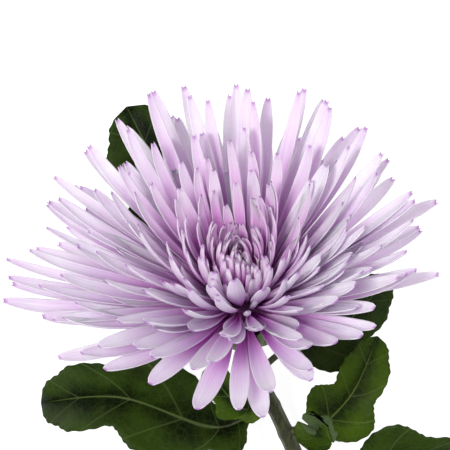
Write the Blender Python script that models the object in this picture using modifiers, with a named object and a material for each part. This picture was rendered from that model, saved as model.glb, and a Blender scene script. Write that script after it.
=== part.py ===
"""A cut spider chrysanthemum lying on a table: one double lilac bloom on a short leafy stem.

The bloom faces up and away from the stem. The frame is +Z up, with the table at z = 0.
"""

import math
import random

import bmesh
import bpy
from mathutils import Matrix, Vector

MM = 0.001

# The bloom: where its petals meet, and which way it faces
BLOOM_CENTRE = Vector((-10.9, 51.7, 47.0)) * MM
FACING_ELEVATION = math.radians(42)
FACING_LEAN = math.radians(5)
CORE_RADIUS = 11.5 * MM

# The ray florets, which are the petals
PETAL_COUNT = 220
CROWDING = 1.15
GOLDEN_ANGLE = math.radians(137.508)
WIDEST_POLAR = math.radians(97)
ROOT_DEPTH = 0.72 * CORE_RADIUS
PETAL_THICKNESS = 1.1 * MM
TIP_CLEARANCE = -0.2 * MM
LEAF_CLEARANCE = 7.5 * MM
SEED = 23

# The stem's centre line from the bloom to the cut, in mm from the bloom's centre
STEM_POINTS = (
    (1.1, -12.8, -11.5),
    (5.5, -25.0, -22.0),
    (14.5, -44.0, -33.5),
    (24.0, -68.0, -41.0),
    (32.0, -98.0, -44.2),
    (40.0, -138.0, -44.35),
    (47.0, -178.0, -44.35),
)
NECK_RADIUS = 2.2 * MM
STEM_RADIUS = 2.8 * MM
STEM_STATIONS = 30

# The green cup of bracts that holds the bloom, as radius and height along its axis
CUP_PROFILE = ((2.8, -16.6), (5.2, -15.6), (9.6, -12.0), (12.6, -7.6), (13.3, -4.8))
CUP_SIDES = 20
CUP_GAP = 0.4 * MM
BRACT_ROWS = ((9, 128.0), (12, 109.0))
BRACT_WIDTH = 5.4 * MM
BRACT_THICKNESS = 1.0 * MM

# The leaves: where each leaves the stem, how much of it is bare stalk, its turn and fold in degrees,
# and its midrib's points in mm from the bloom's centre
LEAVES = (
    {
        "stem": 0.26, "bare": 0.16, "roll": 6, "fold": 30, "breadth": 0.86,
        "rib": ((-12, -42, -26), (-41, -32, -23), (-69, -35, -38)),
    },
    {
        "stem": 0.34, "bare": 0.18, "roll": 10, "fold": 12, "breadth": 1.0,
        "rib": ((26, -43, -29), (37, -30, -21), (45, -11, -17)),
    },
    {
        "stem": 0.46, "bare": 0.16, "roll": 12, "fold": 16, "breadth": 1.0,
        "rib": ((41, -59, -31), (61, -54, -29), (81, -59, -41)),
    },
    {
        "stem": 0.17, "bare": 0.22, "roll": 0, "fold": 18, "breadth": 1.0,
        "rib": ((1, -35, -11), (-5, -30, -7), (-12, -21, -9)),
    },
    {
        "stem": 0.15, "bare": 0.20, "roll": 8, "fold": 10, "breadth": 1.0,
        "rib": ((18, -15, -28), (34, -8, -30), (50, 8, -34)),
    },
    {
        "stem": 0.19, "bare": 0.38, "roll": 0, "fold": 4, "breadth": 1.0,
        "rib": ((-6, -3, -38), (-22, 31, -42), (-40, 67, -43.5)),
    },
    {
        "stem": 0.52, "bare": 0.14, "roll": -6, "fold": 14, "breadth": 1.0,
        "rib": ((2, -92, -34), (-22, -104, -33), (-50, -118, -45)),
    },
    {
        "stem": 0.68, "bare": 0.14, "roll": 6, "fold": 14, "breadth": 1.0,
        "rib": ((52, -124, -34), (72, -134, -34), (96, -150, -45)),
    },
)
# Half of the lobed outline, as shares of the blade's length along and across the midrib
LEAF_OUTLINE = (
    (0.00, 0.012), (0.06, 0.030), (0.13, 0.075), (0.20, 0.135), (0.27, 0.180), (0.32, 0.185),
    (0.36, 0.160), (0.40, 0.150), (0.46, 0.205), (0.53, 0.270), (0.61, 0.300), (0.65, 0.265),
    (0.68, 0.215), (0.71, 0.185), (0.77, 0.210), (0.84, 0.205), (0.88, 0.165), (0.93, 0.130),
    (0.97, 0.070),
)
BLADE_THICKNESS = 0.8 * MM
VEIN_SLOPE = 0.6
PETIOLE_RADIUS = 1.15 * MM
RIB_SIDES = 6
RIB_STATIONS = 9
JOIN_GAP = 0.6 * MM
EDGE_WAVE = 2.2 * MM

LILAC = (0.62, 0.44, 0.68)
GREEN = (0.045, 0.085, 0.012)
STEM_GREEN = (0.11, 0.15, 0.05)
BRACT_GREEN = (0.13, 0.19, 0.06)


def clear_scene():
    for obj in list(bpy.data.objects):
        bpy.data.objects.remove(obj, do_unlink=True)


def make_collection(name):
    collection = bpy.data.collections.new(name)
    bpy.context.scene.collection.children.link(collection)
    return collection


def make_material(name, colour, roughness):
    material = bpy.data.materials.new(name)
    material.use_nodes = True
    shader = material.node_tree.nodes["Principled BSDF"]
    shader.inputs["Base Color"].default_value = (*colour, 1)
    shader.inputs["Roughness"].default_value = roughness
    shader.inputs["Metallic"].default_value = 0
    return material


def object_from(mesh_builder, name, collection, material):
    """A new object whose mesh is the finished bmesh, with its faces turned outwards."""
    bmesh.ops.recalc_face_normals(mesh_builder, faces=mesh_builder.faces)
    mesh = bpy.data.meshes.new(name)
    mesh_builder.to_mesh(mesh)
    mesh_builder.free()
    mesh.materials.append(material)
    obj = bpy.data.objects.new(name, mesh)
    collection.objects.link(obj)
    return obj


def fuse(base, helpers, solver):
    """Joins every object of the helpers collection to the base, then removes the helpers."""
    union = base.modifiers.new("join", "BOOLEAN")
    union.operation = "UNION"
    union.operand_type = "COLLECTION"
    union.collection = helpers
    union.solver = solver
    apply_modifiers(base)
    for obj in list(helpers.objects):
        bpy.data.objects.remove(obj, do_unlink=True)


def apply_modifiers(obj):
    bpy.context.view_layer.update()
    evaluated = obj.evaluated_get(bpy.context.evaluated_depsgraph_get())
    mesh = bpy.data.meshes.new_from_object(evaluated)
    obj.modifiers.clear()
    obj.data = mesh


def keep_main_body(obj):
    """Fills hollows that the fusing sealed and drops loose scraps: only the largest shell stays."""
    builder = bmesh.new()
    builder.from_mesh(obj.data)
    unseen = set(builder.faces)
    shells = []
    while unseen:
        shell = {unseen.pop()}
        rim = set(shell)
        while rim:
            joints = {e for face in rim for e in face.edges if len(e.link_faces) == 2}
            rim = {face for e in joints for face in e.link_faces} & unseen
            unseen -= rim
            shell |= rim
        shells.append(shell)
    largest = max(shells, key=len)
    spare = [face for shell in shells if shell is not largest for face in shell]
    bmesh.ops.delete(builder, geom=spare, context="FACES")
    builder.to_mesh(obj.data)
    builder.free()


def loft(builder, rings, closed_tip=None):
    """Skins a list of rings of points. The last ring meets the tip point, or is capped."""
    skin = [[builder.verts.new(p) for p in ring] for ring in rings]
    count = len(skin[0])
    for low, high in zip(skin, skin[1:]):
        for k in range(count):
            after = (k + 1) % count
            builder.faces.new((low[k], low[after], high[after], high[k]))
    builder.faces.new(skin[0][::-1])
    if closed_tip is None:
        builder.faces.new(skin[-1])
        return
    tip = builder.verts.new(closed_tip)
    for k in range(count):
        builder.faces.new((skin[-1][k], skin[-1][(k + 1) % count], tip))


def bloom_axes():
    """Three unit vectors: up the side that the stem is on, to the right, and out of the face."""
    face = Vector((0, math.cos(FACING_ELEVATION), math.sin(FACING_ELEVATION)))
    front = Vector((0, -math.sin(FACING_ELEVATION), math.cos(FACING_ELEVATION)))
    lean = Matrix.Rotation(FACING_LEAN, 3, front)
    face = lean @ face
    right = face.cross(front)
    return front, right, face


def smooth(value, low, high):
    share = min(1.0, max(0.0, (value - low) / (high - low)))
    return share * share * (3 - 2 * share)


def towards_front(azimuth):
    """1 on the side that the stem is on and a little to its right, 0 on the far side."""
    return smooth(math.cos(azimuth - math.radians(14)), -0.1, 0.75)


def foremost(azimuth):
    """1 for the few long petals that hang over the stem, 0 elsewhere."""
    return smooth(math.cos(azimuth - math.radians(7)), 0.93, 1.0)


def standing(azimuth, polar, front, right, face):
    """How far up a petal points: 1 for straight up off the table, 0 for level with it."""
    ring = math.cos(azimuth) * front.z + math.sin(azimuth) * right.z
    return math.sin(polar) * ring + math.cos(polar) * face.z


def petal_rules():
    """One dictionary for each petal, from the eye outwards, by the golden angle."""
    draw = random.Random(SEED)
    front, right, face = bloom_axes()
    rules = []
    for index in range(PETAL_COUNT):
        share = (index + 0.5) / PETAL_COUNT
        polar = math.acos(1 - share**CROWDING * (1 - math.cos(WIDEST_POLAR)))
        azimuth = index * GOLDEN_ANGLE + draw.uniform(-0.09, 0.09)
        near = towards_front(azimuth)
        back = max(0.0, -math.cos(azimuth))
        degrees = math.degrees(polar)
        grown = degrees * (1 + 0.24 * back)
        ring = smooth(degrees, 4, 16)
        outer = smooth(degrees, 35, 75)
        reach = 20 + 9.5 * ring + 11.5 * smooth(grown, 26, 48) + 34 * smooth(grown, 42, 76)
        hanging = foremost(azimuth) * smooth(degrees, 62, 88)
        reach *= 1 - 0.22 * near + 0.15 * hanging - 0.09 * max(0.0, math.sin(azimuth))
        reach *= 1 + draw.uniform(-0.08, 0.05)
        width = (2.5 + 1.3 * ring + (3.0 + 1.0 * near) * outer) * (1 + draw.uniform(-0.12, 0.12))
        height = standing(azimuth, polar, front, right, face)
        parted = smooth(height, 0.955, 0.99)
        reach *= 1 - 0.40 * parted
        width *= (1 - 0.32 * smooth(height, 0.80, 0.95)) * (1 - 0.20 * parted)
        spread = 1 - (0.04 + 0.11 * near) * outer + 0.11 * hanging
        rule = {
            "rank": share,
            "azimuth": azimuth,
            "polar": polar * spread + draw.uniform(-0.07, 0.07),
            "length": reach * MM - ROOT_DEPTH,
            "width": width * MM,
            "bend": -0.28 * (1 - outer) * ring - 0.10 * outer + draw.uniform(-0.06, 0.06),
            "hook": draw.uniform(-0.07, 0.02) - 0.10 * (1 - outer) * ring,
            "sweep": draw.uniform(-0.05, 0.05),
            "twist": draw.uniform(-0.25, 0.25),
        }
        lift_clear(rule, front, right, face)
        rules.append(rule)
    return rules


def spine_point(rule, u):
    """A point of the petal's centre line, as radial, sideways and axial distances."""
    sine, cosine = math.sin(rule["polar"]), math.cos(rule["polar"])
    away = rule["bend"] * u**2 + rule["hook"] * u**5
    length = rule["length"]
    return (
        ROOT_DEPTH * sine + length * (u * sine + away * cosine),
        length * rule["sweep"] * u**2,
        ROOT_DEPTH * cosine + length * (u * cosine - away * sine),
    )


def place(rule, point, front, right, face):
    """Turns radial, sideways and axial distances into a point of the world."""
    radial, sideways, axial = point
    sine, cosine = math.sin(rule["azimuth"]), math.cos(rule["azimuth"])
    along_front = radial * cosine - sideways * sine
    along_right = radial * sine + sideways * cosine
    return BLOOM_CENTRE + along_front * front + along_right * right + axial * face


def lift_clear(rule, front, right, face):
    """Turns a petal up until its tip clears the table, and the leaf that lies there."""
    for _ in range(60):
        tip = place(rule, spine_point(rule, 1), front, right, face)
        over_leaf = smooth(-(tip.x - BLOOM_CENTRE.x) / MM, 2, 14)
        if tip.z >= TIP_CLEARANCE + LEAF_CLEARANCE * over_leaf:
            return
        rule["polar"] -= math.radians(0.5)


def width_share(u):
    """How wide a petal is along its length, as a share of its greatest width."""
    return (0.34 + 0.66 * smooth(u, 0.0, 0.5)) * (1 - 0.35 * smooth(u, 0.8, 1.0))


def petal_section(rule, u, front, right, face):
    """Four points round the centre line: two raised edges, the channel's floor and the keel."""
    slope = 2 * rule["bend"] * u + 5 * rule["hook"] * u**4
    polar = rule["polar"] + math.atan(slope)
    upper = (-math.cos(polar), 0.0, math.sin(polar))
    turn = rule["twist"] * u
    half = 0.5 * rule["width"] * width_share(u)
    lift = 0.42 * half
    points = []
    for across, up in (
        (-half, lift),
        (0.0, 0.5 * PETAL_THICKNESS),
        (half, lift),
        (0.0, -0.5 * PETAL_THICKNESS),
    ):
        side = across * math.cos(turn) - up * math.sin(turn)
        rise = across * math.sin(turn) + up * math.cos(turn)
        radial, sideways, axial = spine_point(rule, u)
        point = (radial + rise * upper[0], sideways + side, axial + rise * upper[2])
        points.append(place(rule, point, front, right, face))
    return points


def build_petal(rule, name, collection, material):
    front, right, face = bloom_axes()
    stations = (0.0, 0.7) if rule["rank"] < 0.3 else (0.0, 0.42, 0.9)
    builder = bmesh.new()
    rings = [petal_section(rule, u, front, right, face) for u in stations]
    tip = place(rule, spine_point(rule, 1), front, right, face)
    loft(builder, rings, closed_tip=tip)
    return object_from(builder, name, collection, material)


def bloom_matrix():
    """Places what is modelled round the z axis on the bloom, with z out of its face."""
    front, right, face = bloom_axes()
    turn = Matrix((right, -front, face)).transposed()
    return Matrix.Translation(BLOOM_CENTRE) @ turn.to_4x4()


def build_ball(name, radius, collection, material):
    """The domed receptacle that the petals stand out of, or a cutter that leaves room for it."""
    builder = bmesh.new()
    bmesh.ops.create_icosphere(builder, subdivisions=2, radius=radius)
    bmesh.ops.transform(builder, matrix=bloom_matrix(), verts=builder.verts)
    return object_from(builder, name, collection, material)


def build_table_cutter(collection, material):
    """Everything below the table, used to give what rests on it a flat spot."""
    builder = bmesh.new()
    bmesh.ops.create_cube(builder, size=1.0)
    box = Matrix.Translation((0, 0, -0.5))
    bmesh.ops.transform(builder, matrix=box, verts=builder.verts)
    cutter = object_from(builder, "table_cutter", collection, material)
    cutter.hide_render = True
    cutter.display_type = "WIRE"
    return cutter


def cut_away(obj, cutter, solver="EXACT"):
    cut = obj.modifiers.new("cut", "BOOLEAN")
    cut.operation = "DIFFERENCE"
    cut.object = cutter
    cut.solver = solver
    apply_modifiers(obj)


def build_bloom(collection, material, table):
    helpers = make_collection("petal_helpers")
    bloom = build_ball("bloom", CORE_RADIUS, collection, material)
    for number, rule in enumerate(petal_rules()):
        build_petal(rule, f"petal_{number}", helpers, material)
    fuse(bloom, helpers, "MANIFOLD")
    bpy.data.collections.remove(helpers)
    cut_away(bloom, table, "MANIFOLD")
    keep_main_body(bloom)
    return bloom


def build_bract(azimuth, tip_polar, name, collection, material):
    """One green scale that hugs the cup and ends free beside the petals' roots."""
    builder = bmesh.new()
    rings = []
    placing = bloom_matrix()
    root_polar, half = math.radians(158), 0.5 * BRACT_WIDTH
    end_polar = math.radians(tip_polar)
    for share, width in ((0.0, 0.6), (0.5, 1.0), (0.8, 0.7)):
        polar = root_polar + (end_polar - root_polar) * share
        radius = CORE_RADIUS + (2.2 + 1.2 * share) * MM
        ring = []
        for across, out in ((-half, 0.0), (0.0, -0.5), (half, 0.0), (0.0, 0.5)):
            rim = radius + out * BRACT_THICKNESS
            turn = azimuth + across * width / CORE_RADIUS
            ring.append(placing @ ball_point(rim, polar, turn))
        rings.append(ring)
    tip = placing @ ball_point(CORE_RADIUS + 4.0 * MM, end_polar, azimuth)
    loft(builder, rings, closed_tip=tip)
    return object_from(builder, name, collection, material)


def ball_point(radius, polar, azimuth):
    ring = radius * math.sin(polar)
    return Vector((ring * math.cos(azimuth), ring * math.sin(azimuth), radius * math.cos(polar)))


def build_cup(collection, material):
    """The cup behind the bloom, hollowed for the receptacle, with its rows of bracts fused on."""
    placing = bloom_matrix()
    builder = bmesh.new()
    rings = []
    for radius, height in CUP_PROFILE:
        ring = []
        for k in range(CUP_SIDES):
            angle = math.tau * k / CUP_SIDES
            point = Vector((radius * math.cos(angle), radius * math.sin(angle), height)) * MM
            ring.append(placing @ point)
        rings.append(ring)
    loft(builder, rings)
    cup = object_from(builder, "cup", collection, material)
    helpers = make_collection("bract_helpers")
    for row, (count, tip_polar) in enumerate(BRACT_ROWS):
        for number in range(count):
            azimuth = math.tau * (number + 0.5 * row) / count
            build_bract(azimuth, tip_polar, f"bract_{row}_{number}", helpers, material)
    fuse(cup, helpers, "MANIFOLD")
    room = build_ball("receptacle_room", CORE_RADIUS + CUP_GAP, helpers, material)
    cut_away(cup, room, "MANIFOLD")
    bpy.data.objects.remove(room, do_unlink=True)
    bpy.data.collections.remove(helpers)
    keep_main_body(cup)
    return cup


def smooth_path(points, share):
    """The point at a share of the smooth curve through a list of points."""
    scaled = share * (len(points) - 1)
    part = min(int(scaled), len(points) - 2)
    t = scaled - part
    before = points[max(part - 1, 0)]
    start, end = points[part], points[part + 1]
    after = points[min(part + 2, len(points) - 1)]
    return 0.5 * (
        2 * start
        + (end - before) * t
        + (2 * before - 5 * start + 4 * end - after) * t**2
        + (3 * start - before - 3 * end + after) * t**3
    )


def stem_path():
    return [BLOOM_CENTRE + Vector(p) * MM for p in STEM_POINTS]


def stem_radius(share):
    return NECK_RADIUS + (STEM_RADIUS - NECK_RADIUS) * smooth(share, 0.0, 0.5)


def build_stem(collection, material, table):
    """A tapered tube along the stem's path, with a narrow flat where it lies on the table."""
    path = stem_path()
    line = bpy.data.curves.new("stem_line", "CURVE")
    line.dimensions = "3D"
    line.bevel_depth = 1.0
    line.bevel_resolution = 4
    line.use_fill_caps = True
    spline = line.splines.new("POLY")
    spline.points.add(STEM_STATIONS - 1)
    for k, point in enumerate(spline.points):
        share = k / (STEM_STATIONS - 1)
        point.co = (*smooth_path(path, share), 1)
        point.radius = stem_radius(share)
    guide = bpy.data.objects.new("stem_line", line)
    collection.objects.link(guide)
    bpy.context.view_layer.update()
    mesh = bpy.data.meshes.new_from_object(
        guide.evaluated_get(bpy.context.evaluated_depsgraph_get())
    )
    bpy.data.objects.remove(guide, do_unlink=True)
    builder = bmesh.new()
    builder.from_mesh(mesh)
    bmesh.ops.remove_doubles(builder, verts=builder.verts, dist=0.01 * MM)
    stem = object_from(builder, "stem", collection, material)
    cut_away(stem, table, "MANIFOLD")
    return stem


def leaf_midrib(leaf):
    """The midrib's points: off the stem's side, then through the leaf's own points."""
    path = stem_path()
    start = smooth_path(path, leaf["stem"])
    tangent = (smooth_path(path, leaf["stem"] + 0.01) - start).normalized()
    rib = [BLOOM_CENTRE + Vector(p) * MM for p in leaf["rib"]]
    away = rib[0] - start
    away = (away - away.dot(tangent) * tangent).normalized()
    base = start + away * (stem_radius(leaf["stem"]) + JOIN_GAP)
    return [base, base + away * 8 * MM, *rib]


def leaf_frame(midrib, leaf, share):
    """The midrib's point, its direction, and the blade's side and upper directions there."""
    share = min(share, 0.999)
    point = smooth_path(midrib, share)
    ahead = (smooth_path(midrib, share + 0.001) - point).normalized()
    side = ahead.cross(Vector((0, 0, 1))).normalized()
    side = Matrix.Rotation(math.radians(leaf["roll"]), 3, ahead) @ side
    return point, ahead, side, side.cross(ahead)


def build_blade(leaf, midrib, length, name, collection, material):
    """The lobed blade: a folded and waved sheet between the midrib and the outline, thickened."""
    builder = bmesh.new()
    fold = math.radians(leaf["fold"])

    def blade_point(along, across):
        share = leaf["bare"] + (1 - leaf["bare"]) * along
        point, _, side, up = leaf_frame(midrib, leaf, share)
        reach = abs(across) * length * leaf["breadth"]
        wave = EDGE_WAVE * math.sin(9.5 * along + 2 * (across > 0)) * min(1, abs(across) / 0.2)
        outwards = math.copysign(math.cos(fold), across) * side
        return point + reach * (outwards + math.sin(fold) * up) + wave * up

    feet = [max(0.0, along - VEIN_SLOPE * across) for along, across in LEAF_OUTLINE]
    centre = [builder.verts.new(blade_point(foot, 0.0)) for foot in feet]
    tip = builder.verts.new(blade_point(1.0, 0.0))
    for hand in (-1, 1):
        edge = [builder.verts.new(blade_point(along, hand * across)) for along, across in LEAF_OUTLINE]
        for k in range(len(LEAF_OUTLINE) - 1):
            corners = (centre[k], edge[k], edge[k + 1], centre[k + 1])
            builder.faces.new(corners if hand > 0 else corners[::-1])
        last = (centre[-1], edge[-1], tip)
        builder.faces.new(last if hand > 0 else last[::-1])
    bmesh.ops.triangulate(builder, faces=builder.faces)
    mesh = bpy.data.meshes.new(name)
    builder.to_mesh(mesh)
    builder.free()
    mesh.materials.append(material)
    blade = bpy.data.objects.new(name, mesh)
    collection.objects.link(blade)
    wall = blade.modifiers.new("thickness", "SOLIDIFY")
    wall.thickness = BLADE_THICKNESS
    wall.offset = 0
    apply_modifiers(blade)
    return blade


def build_rib(leaf, midrib, name, collection, material):
    """The leaf stalk, which runs on as the raised midrib under the blade."""
    builder = bmesh.new()
    rings = []
    for k in range(RIB_STATIONS):
        share = 0.86 * k / (RIB_STATIONS - 1)
        point, _, side, up = leaf_frame(midrib, leaf, share)
        radius = PETIOLE_RADIUS * (1 - 0.6 * smooth(share, leaf["bare"], 0.86))
        sunk = 0.45 * radius * smooth(share, 0.0, leaf["bare"])
        ring = []
        for n in range(RIB_SIDES):
            angle = math.tau * (n + 0.5) / RIB_SIDES
            ring.append(point + radius * (math.cos(angle) * side + math.sin(angle) * up) - sunk * up)
        rings.append(ring)
    loft(builder, rings)
    return object_from(builder, name, collection, material)


def build_leaf(number, leaf, collection, material, table):
    midrib = leaf_midrib(leaf)
    stations = [smooth_path(midrib, k / 40) for k in range(41)]
    length = sum((b - a).length for a, b in zip(stations, stations[1:]))
    name = f"leaf_{number}"
    helpers = make_collection("leaf_helpers")
    blade = build_blade(leaf, midrib, length * (1 - leaf["bare"]), name, collection, material)
    build_rib(leaf, midrib, "rib", helpers, material)
    fuse(blade, helpers, "MANIFOLD")
    bpy.data.collections.remove(helpers)
    cut_away(blade, table, "MANIFOLD")
    keep_main_body(blade)
    return blade


def main():
    clear_scene()
    flower = make_collection("spider_chrysanthemum")
    cutters = make_collection("cutters")
    lilac = make_material("lilac_petal", LILAC, 0.55)
    green = make_material("leaf_green", GREEN, 0.5)
    stem_green = make_material("stem_green", STEM_GREEN, 0.6)
    bract_green = make_material("bract_green", BRACT_GREEN, 0.6)
    table = build_table_cutter(cutters, green)
    build_bloom(flower, lilac, table)
    build_cup(flower, bract_green)
    build_stem(flower, stem_green, table)
    for number, leaf in enumerate(LEAVES, start=1):
        build_leaf(number, leaf, flower, green, table)


main()
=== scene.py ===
# %% [markdown]
# # A spider chrysanthemum, cut and laid on a pale table
# One double lilac bloom, the green cup behind it, a bowed stem and eight leaves. It could be
# sculpted petal by petal, but a living thing grows by rules, and a rule is shorter and gives the
# same flower every time: petals leave the core by the golden angle, leaves follow a midrib, and the
# stem follows a path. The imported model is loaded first. Each finished piece stands in for a solid.

# %% Load the frame and measure its box
import math
import random

import bmesh
import bpy
from mathutils import Matrix, Vector


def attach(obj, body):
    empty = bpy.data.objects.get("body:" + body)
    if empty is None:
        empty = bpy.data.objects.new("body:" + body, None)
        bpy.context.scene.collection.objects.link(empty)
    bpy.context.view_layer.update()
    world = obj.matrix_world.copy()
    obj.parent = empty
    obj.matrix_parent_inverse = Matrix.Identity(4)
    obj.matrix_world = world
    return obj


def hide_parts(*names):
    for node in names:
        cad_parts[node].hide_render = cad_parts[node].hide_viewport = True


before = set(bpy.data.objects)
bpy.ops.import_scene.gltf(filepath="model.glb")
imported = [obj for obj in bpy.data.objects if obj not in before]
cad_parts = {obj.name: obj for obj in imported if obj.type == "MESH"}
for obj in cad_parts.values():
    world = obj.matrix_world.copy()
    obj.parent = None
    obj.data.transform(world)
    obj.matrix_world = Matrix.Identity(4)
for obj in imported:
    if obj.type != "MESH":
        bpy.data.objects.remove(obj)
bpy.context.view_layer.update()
print("the flower's solids:", ", ".join(sorted(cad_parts)))

# %% [markdown]
# ## Where the bloom is and which way it faces
# The bloom's centre is the point that all its petals grow from. The flower lies on its stem, so its
# face looks up and away. An empty could hold this place, but axes written as vectors are easier to
# check, and three are enough to place a petal: front, right, and out of the face.

# %% The bloom's centre and axes
MM = 0.001
BLOOM_CENTRE = Vector((-10.9, 51.7, 47.0)) * MM
FACING_ELEVATION = math.radians(42)
FACING_LEAN = math.radians(5)
CORE_RADIUS = 11.5 * MM

FRONT = Vector((0, -math.sin(FACING_ELEVATION), math.cos(FACING_ELEVATION)))
FACE = Matrix.Rotation(FACING_LEAN, 3, FRONT) @ Vector(
    (0, math.cos(FACING_ELEVATION), math.sin(FACING_ELEVATION)))
RIGHT = FACE.cross(FRONT)
BLOOM_TURN = Matrix((RIGHT, -FRONT, FACE)).transposed()
print("the face points along", [round(value, 2) for value in FACE])

# %% [markdown]
# ## Colours, nodes and objects
# A shader works in linear light, while a colour code is sRGB, so one function turns one into the
# other. Nodes could be wired by hand in the editor. Here one small function adds any node, sets its
# properties, fills or links its inputs, and gives a ramp or a curve its stops.

# %% Small helpers
NODE_COLUMNS = 14


def linear(code):
    """An sRGB hex colour as the four linear numbers that shaders take."""
    parts = [int(code[k : k + 2], 16) / 255 for k in (1, 3, 5)]
    return (*(c / 12.92 if c <= 0.04045 else ((c + 0.055) / 1.055) ** 2.4 for c in parts), 1.0)


def per_metre(size_mm):
    """The scale of a pattern whose cells are this many millimetres wide."""
    return 1000 / size_mm


def set_stops(node, stops):
    """Gives a colour ramp (place, hex code) stops, or a curve (x, y) ones."""
    if hasattr(node, "color_ramp"):
        marks = node.color_ramp.elements
        while len(marks) < len(stops):
            marks.new(0.5)
        for mark, (place, code) in zip(marks, stops):
            mark.position = place
            mark.color = linear(code)
    else:
        marks = node.mapping.curves[0].points
        while len(marks) < len(stops):
            marks.new(0.5, 0.5)
        for mark, place in zip(marks, stops):
            mark.location = place
        node.mapping.update()


def add(tree, kind, settings=None, inputs=None, stops=()):
    """Adds one node, sets its properties and stops, and gives each input a value or a link."""
    node = tree.nodes.new(kind)
    count = len(tree.nodes)
    node.location = (200 * (count % NODE_COLUMNS), -260 * (count // NODE_COLUMNS))
    for name, value in (settings or {}).items():
        setattr(node, name, value)
    for socket, value in (inputs or {}).items():
        if isinstance(value, bpy.types.NodeSocket):
            tree.links.new(value, node.inputs[socket])
        else:
            node.inputs[socket].default_value = value
    if stops:
        set_stops(node, stops)
    return node


def new_material(name):
    material = bpy.data.materials.new(name)
    material.use_nodes = True
    material.node_tree.nodes.clear()
    return material


def new_object(name, data):
    """An object at the origin that holds a mesh, a lamp or a camera."""
    thing = bpy.data.objects.new(name, data)
    bpy.context.scene.collection.objects.link(thing)
    return thing


def mesh_from(builder, name, *materials):
    """A mesh from a finished bmesh, with its materials in order."""
    mesh = bpy.data.meshes.new(name)
    builder.to_mesh(mesh)
    builder.free()
    for material in materials:
        mesh.materials.append(material)
    return mesh


print("lilac in linear light:", [round(value, 3) for value in linear("#E3CCEA")[:3]])

# %% [markdown]
# ## The floor
# The photograph's background is pure white with no shadow. The floor could be left out, but then
# the flower would float in every other view. So it is one flat sheet of matt white paper, and it
# glows a little, which keeps it white beneath the flower too.

# %% The paper floor
FLOOR_HALF_SIZE = 2.0
FLOOR_GLOW = 0.86

paper = new_material("white_paper_floor")
tree = paper.node_tree
shader = add(tree, "ShaderNodeBsdfPrincipled", inputs={
    "Base Color": linear("#B4B4B4"), "Roughness": 0.9,
    "Emission Color": linear("#FFFFFF"), "Emission Strength": FLOOR_GLOW})
add(tree, "ShaderNodeOutputMaterial", inputs={"Surface": shader.outputs[0]})

builder = bmesh.new()
bmesh.ops.create_grid(builder, x_segments=1, y_segments=1, size=FLOOR_HALF_SIZE)
floor = new_object("floor", mesh_from(builder, "floor", paper))
print("a floor of", 2 * FLOOR_HALF_SIZE, "m")

# %% [markdown]
# ## Soft studio light
# The petals in the photograph have soft shade and no hard edge of shadow. A sun lamp would cut
# lines between them, so two round area lamps hang over the flower instead, the stronger one on the
# left, and a pale world lights the rest.

# %% Lights and world
LAMPS = (
    ("soft_key", (-0.42, 0.10, 1.08), 0.3, 9.0, "#FFFDFA"),
    ("soft_fill", (0.55, 0.10, 0.85), 0.6, 2.2, "#F8FAFF"),
)
WORLD_STRENGTH = 0.42

for name, place, size, power, colour in LAMPS:
    lamp = bpy.data.lights.new(name, "AREA")
    lamp.shape = "DISK"
    lamp.size = size
    lamp.energy = power
    lamp.color = linear(colour)[:3]
    light = new_object(name, lamp)
    light.location = place
    light.rotation_euler = (BLOOM_CENTRE - Vector(place)).to_track_quat("-Z", "Y").to_euler()

world = bpy.data.worlds.new("pale_studio")
world.use_nodes = True
background = world.node_tree.nodes["Background"].inputs
background["Color"].default_value = linear("#FFFFFF")
background["Strength"].default_value = WORLD_STRENGTH
bpy.context.scene.world = world
print(len(LAMPS), "lamps and a world of strength", WORLD_STRENGTH)

# %% [markdown]
# ## The camera
# The photograph looks straight down on the flower from well back, through a long lens, so that near
# petals look no larger than far ones. A new camera already looks down, so it needs only its place.
# The Standard view keeps the white floor white.

# %% The overhead camera
CAMERA_PLACE = BLOOM_CENTRE + Vector((-5.9, 26.0, 700.0)) * MM
LENS_MM = 172.0
SENSOR_MM = 36.0

camera_data = bpy.data.cameras.new("overhead_camera")
camera_data.lens = LENS_MM
camera_data.sensor_width = SENSOR_MM
camera = new_object("overhead_camera", camera_data)
camera.location = CAMERA_PLACE
bpy.context.scene.camera = camera
bpy.context.scene.view_settings.view_transform = "Standard"
print("camera", round((CAMERA_PLACE - BLOOM_CENTRE).length, 3), "m from the bloom")

# %% [markdown]
# ## The rule of the petals
# A chrysanthemum's petals are florets that leave a dome one after another, each turned 137.5
# degrees from the last. The first ones, at the eye, are short and curl inwards. The later ones are
# longer, flatter and wider. They could be scattered at random, but then they would clump. Here each
# petal gets one line of numbers from the rule, with a little chance in it, from a fixed seed.

# %% One dictionary for each petal
PETAL_COUNT = 220
CROWDING = 1.15
GOLDEN_ANGLE = math.radians(137.508)
WIDEST_POLAR = math.radians(97)
ROOT_DEPTH = 0.72 * CORE_RADIUS
TIP_CLEARANCE = -0.2 * MM
LEAF_CLEARANCE = 7.5 * MM
SEED = 23


def smooth(value, low, high):
    """0 below low, 1 above high, and an even slope between them."""
    share = min(1.0, max(0.0, (value - low) / (high - low)))
    return share * share * (3 - 2 * share)


def towards_front(azimuth):
    """1 on the side that the stem is on and a little to its right, 0 on the far side."""
    return smooth(math.cos(azimuth - math.radians(14)), -0.1, 0.75)


def foremost(azimuth):
    """1 for the few long petals that hang over the stem, 0 elsewhere."""
    return smooth(math.cos(azimuth - math.radians(7)), 0.93, 1.0)


def petal_axes(azimuth, polar):
    """A petal's direction, the way that leans away from the face, and the way along the ring."""
    ring = math.cos(azimuth) * FRONT + math.sin(azimuth) * RIGHT
    sideways = math.cos(azimuth) * RIGHT - math.sin(azimuth) * FRONT
    direction = math.sin(polar) * ring + math.cos(polar) * FACE
    outward = math.cos(polar) * ring - math.sin(polar) * FACE
    return direction, outward, sideways


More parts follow.
